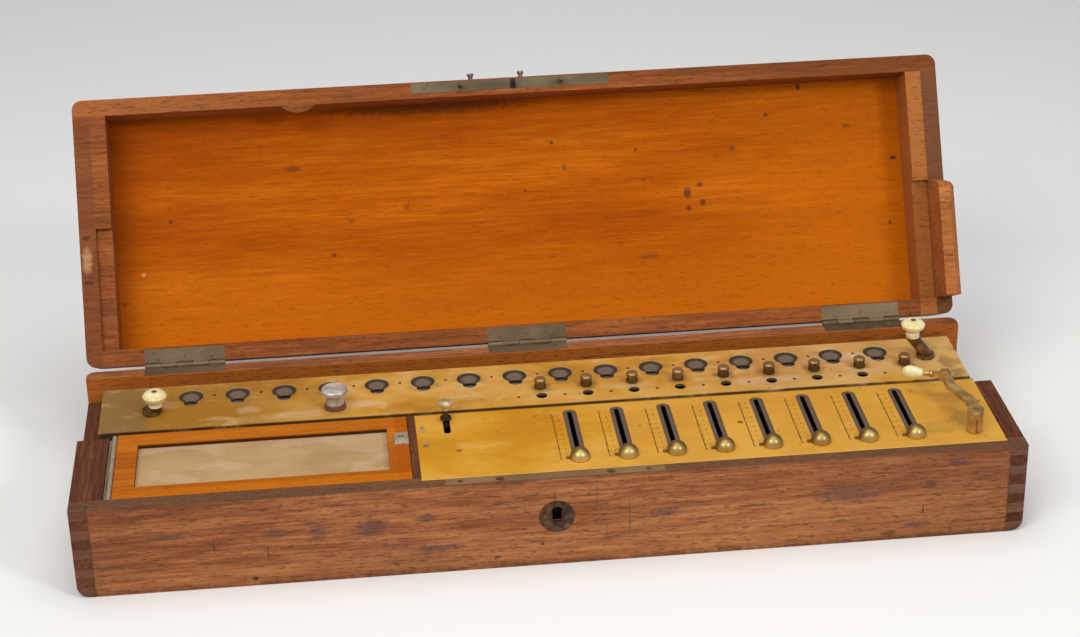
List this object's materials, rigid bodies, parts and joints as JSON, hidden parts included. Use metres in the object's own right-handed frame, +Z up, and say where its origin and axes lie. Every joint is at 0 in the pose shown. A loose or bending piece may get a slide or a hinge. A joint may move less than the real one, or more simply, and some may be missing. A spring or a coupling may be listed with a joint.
{
  "type": "mechanical calculator",
  "caption": "Long wooden case with an open lid, holding a brass calculating machine with input slots, sliding carriage, crank and writing tablet.",
  "frame": {"origin": "middle of the case's underside, at table height", "axes": "+X to the right along the case, +Y from the front to the hinges, +Z up"},
  "size_m": [0.585, 0.301, 0.2219],
  "materials": {
    "case_wood": "worn varnish, dark in the joints",
    "lid_wood": "oiled, warm brown",
    "tablet_wood": "varnished, orange brown",
    "paper": "aged paper on board",
    "dull_brass": "tarnished",
    "plate_brass": "satin, stained",
    "carriage_brass": "dull, smeared",
    "frame_brass": "plain",
    "bright_brass": "polished by use",
    "steel": "grey, slightly rusted",
    "ivory": "yellowed, polished",
    "nickel": "nickel, worn",
    "enamel": "silvered dial"
  },
  "bodies": {
    "case": {"case_front_board": "case_wood", "case_rear_board": "case_wood", "case_end_boards": "case_wood", "case_bottom_board": "case_wood", "compartment_walls": "case_wood", "hinge_base_leaves": "dull_brass", "box_lock": "dull_brass", "keyhole_escutcheon": "dull_brass", "input_plate": "plate_brass", "plate_screws": "steel", "mechanism_frame": "frame_brass", "carriage_rail": "steel", "digit_shafts": "steel"},
    "lid": {"lid_panel": "lid_wood", "lid_rails": "case_wood", "lid_cheek_block": "case_wood", "hinge_lid_leaves": "dull_brass", "lid_lock_plate": "dull_brass", "lid_studs": "steel"},
    "tablet": {"tablet_frame": "tablet_wood", "tablet_sheet": "paper", "tablet_hinge_leaf": "steel", "tablet_pull": "plate_brass"},
    "bolt": {"lock_bolt": "steel"},
    "carriage_shoe": {"carriage_bushings": "frame_brass"},
    "carriage": {"carriage_plate": "carriage_brass", "carriage_frame": "carriage_brass", "carriage_lift_knob": "nickel", "result_dials": "enamel"},
    "left_reset": {"reset_knob_left": "ivory"},
    "right_reset": {"reset_knob_right": "ivory"},
    "crank": {"crank_arm": "bright_brass"},
    "handle": {"crank_handle": "ivory"},
    "drive": {"main_shaft": "frame_brass"},
    "lever": {"function_lever": "bright_brass"},
    "counter_1": {"counter_knob_1": "bright_brass"},
    "counter_2": {"counter_knob_2": "bright_brass"},
    "counter_3": {"counter_knob_3": "bright_brass"},
    "counter_4": {"counter_knob_4": "bright_brass"},
    "counter_5": {"counter_knob_5": "bright_brass"},
    "counter_6": {"counter_knob_6": "bright_brass"},
    "counter_7": {"counter_knob_7": "bright_brass"},
    "counter_8": {"counter_knob_8": "bright_brass"},
    "counter_9": {"counter_knob_9": "bright_brass"},
    "drum_1": {"stepped_drum_1": "frame_brass"},
    "drum_2": {"stepped_drum_2": "frame_brass"},
    "drum_3": {"stepped_drum_3": "frame_brass"},
    "drum_4": {"stepped_drum_4": "frame_brass"},
    "drum_5": {"stepped_drum_5": "frame_brass"},
    "drum_6": {"stepped_drum_6": "frame_brass"},
    "drum_7": {"stepped_drum_7": "frame_brass"},
    "drum_8": {"stepped_drum_8": "frame_brass"},
    "input_1": {"slider_1": "bright_brass"},
    "input_2": {"slider_2": "bright_brass"},
    "input_3": {"slider_3": "bright_brass"},
    "input_4": {"slider_4": "bright_brass"},
    "input_5": {"slider_5": "bright_brass"},
    "input_6": {"slider_6": "bright_brass"},
    "input_7": {"slider_7": "bright_brass"},
    "input_8": {"slider_8": "bright_brass"}
  },
  "joints": [
    {"name": "lid_hinge", "type": "hinge", "parent": "case", "child": "lid", "pos_m": [0, 0.0906, 0.0613], "axis": [-1, 0, 0], "range_deg": [-119, 0]},
    {"name": "tablet_hinge", "type": "hinge", "parent": "case", "child": "tablet", "pos_m": [-0.2692, -0.0386, 0.0594], "axis": [0, -1, 0], "range_deg": [0, 100]},
    {"name": "bolt_slide", "type": "slide", "parent": "case", "child": "bolt", "axis": [1, 0, 0], "range_m": [0, 0.005]},
    {"name": "carriage_slide", "type": "slide", "parent": "case", "child": "carriage_shoe", "axis": [1, 0, 0], "range_m": [0, 0.24]},
    {"name": "carriage_lift", "type": "hinge", "parent": "carriage_shoe", "child": "carriage", "pos_m": [0, 0.064, 0.05], "axis": [-1, 0, 0], "range_deg": [0, 35]},
    {"name": "left_reset_turn", "type": "hinge", "parent": "carriage", "child": "left_reset", "pos_m": [-0.2473, 0.0263, 0.0615], "axis": [0, 0, 1], "range_deg": [0, 270]},
    {"name": "right_reset_turn", "type": "hinge", "parent": "carriage", "child": "right_reset", "pos_m": [0.2582, 0.0338, 0.0615], "axis": [0, 0, 1], "range_deg": [0, 270]},
    {"name": "crank_turn", "type": "hinge", "parent": "case", "child": "crank", "pos_m": [0.264, -0.0665, 0.061], "axis": [0, 0, -1], "range_deg": [0, 360]},
    {"name": "handle_fold", "type": "hinge", "parent": "crank", "child": "handle", "pos_m": [0.25718, -0.01798, 0.075], "axis": [0.342, 0.9397, 0], "range_deg": [0, 90]},
    {"name": "drive_turn", "type": "hinge", "parent": "case", "child": "drive", "pos_m": [0.13, -0.0665, 0.0265], "axis": [-1, 0, 0], "range_deg": [-15, 400]},
    {"name": "lever_slide", "type": "slide", "parent": "case", "child": "lever", "axis": [0, -1, 0], "range_m": [0, 0.015]},
    {"name": "counter_1_turn", "type": "hinge", "parent": "carriage", "child": "counter_1", "pos_m": [0.0021, 0.026, 0.0615], "axis": [0, 0, 1], "continuous": true},
    {"name": "counter_2_turn", "type": "hinge", "parent": "carriage", "child": "counter_2", "pos_m": [0.0321, 0.026, 0.0615], "axis": [0, 0, 1], "continuous": true},
    {"name": "counter_3_turn", "type": "hinge", "parent": "carriage", "child": "counter_3", "pos_m": [0.0621, 0.026, 0.0615], "axis": [0, 0, 1], "continuous": true},
    {"name": "counter_4_turn", "type": "hinge", "parent": "carriage", "child": "counter_4", "pos_m": [0.0921, 0.026, 0.0615], "axis": [0, 0, 1], "continuous": true},
    {"name": "counter_5_turn", "type": "hinge", "parent": "carriage", "child": "counter_5", "pos_m": [0.1221, 0.026, 0.0615], "axis": [0, 0, 1], "continuous": true},
    {"name": "counter_6_turn", "type": "hinge", "parent": "carriage", "child": "counter_6", "pos_m": [0.1521, 0.026, 0.0615], "axis": [0, 0, 1], "continuous": true},
    {"name": "counter_7_turn", "type": "hinge", "parent": "carriage", "child": "counter_7", "pos_m": [0.1821, 0.026, 0.0615], "axis": [0, 0, 1], "continuous": true},
    {"name": "counter_8_turn", "type": "hinge", "parent": "carriage", "child": "counter_8", "pos_m": [0.2121, 0.026, 0.0615], "axis": [0, 0, 1], "continuous": true},
    {"name": "counter_9_turn", "type": "hinge", "parent": "carriage", "child": "counter_9", "pos_m": [0.2421, 0.026, 0.0615], "axis": [0, 0, 1], "continuous": true},
    {"name": "drum_1_turn", "type": "hinge", "parent": "case", "child": "drum_1", "pos_m": [0.0171, -0.03, 0.0265], "axis": [0, 1, 0], "range_deg": [-15, 400]},
    {"name": "drum_2_turn", "type": "hinge", "parent": "case", "child": "drum_2", "pos_m": [0.0471, -0.03, 0.0265], "axis": [0, 1, 0], "range_deg": [-15, 400]},
    {"name": "drum_3_turn", "type": "hinge", "parent": "case", "child": "drum_3", "pos_m": [0.0771, -0.03, 0.0265], "axis": [0, 1, 0], "range_deg": [-15, 400]},
    {"name": "drum_4_turn", "type": "hinge", "parent": "case", "child": "drum_4", "pos_m": [0.1071, -0.03, 0.0265], "axis": [0, 1, 0], "range_deg": [-15, 400]},
    {"name": "drum_5_turn", "type": "hinge", "parent": "case", "child": "drum_5", "pos_m": [0.1371, -0.03, 0.0265], "axis": [0, 1, 0], "range_deg": [-15, 400]},
    {"name": "drum_6_turn", "type": "hinge", "parent": "case", "child": "drum_6", "pos_m": [0.1671, -0.03, 0.0265], "axis": [0, 1, 0], "range_deg": [-15, 400]},
    {"name": "drum_7_turn", "type": "hinge", "parent": "case", "child": "drum_7", "pos_m": [0.1971, -0.03, 0.0265], "axis": [0, 1, 0], "range_deg": [-15, 400]},
    {"name": "drum_8_turn", "type": "hinge", "parent": "case", "child": "drum_8", "pos_m": [0.2271, -0.03, 0.0265], "axis": [0, 1, 0], "range_deg": [-15, 400]},
    {"name": "input_1_slide", "type": "slide", "parent": "case", "child": "input_1", "axis": [0, 1, 0], "range_m": [0, 0.054]},
    {"name": "input_2_slide", "type": "slide", "parent": "case", "child": "input_2", "axis": [0, 1, 0], "range_m": [0, 0.054]},
    {"name": "input_3_slide", "type": "slide", "parent": "case", "child": "input_3", "axis": [0, 1, 0], "range_m": [0, 0.054]},
    {"name": "input_4_slide", "type": "slide", "parent": "case", "child": "input_4", "axis": [0, 1, 0], "range_m": [0, 0.054]},
    {"name": "input_5_slide", "type": "slide", "parent": "case", "child": "input_5", "axis": [0, 1, 0], "range_m": [0, 0.054]},
    {"name": "input_6_slide", "type": "slide", "parent": "case", "child": "input_6", "axis": [0, 1, 0], "range_m": [0, 0.054]},
    {"name": "input_7_slide", "type": "slide", "parent": "case", "child": "input_7", "axis": [0, 1, 0], "range_m": [0, 0.054]},
    {"name": "input_8_slide", "type": "slide", "parent": "case", "child": "input_8", "axis": [0, 1, 0], "range_m": [0, 0.054]}
  ],
  "couplings": [
    {"joint": "drive_turn", "follows": "crank_turn", "ratio": 1},
    {"joint": "drum_1_turn", "follows": "crank_turn", "ratio": 1},
    {"joint": "drum_2_turn", "follows": "crank_turn", "ratio": 1},
    {"joint": "drum_3_turn", "follows": "crank_turn", "ratio": 1},
    {"joint": "drum_4_turn", "follows": "crank_turn", "ratio": 1},
    {"joint": "drum_5_turn", "follows": "crank_turn", "ratio": 1},
    {"joint": "drum_6_turn", "follows": "crank_turn", "ratio": 1},
    {"joint": "drum_7_turn", "follows": "crank_turn", "ratio": 1},
    {"joint": "drum_8_turn", "follows": "crank_turn", "ratio": 1}
  ]
}
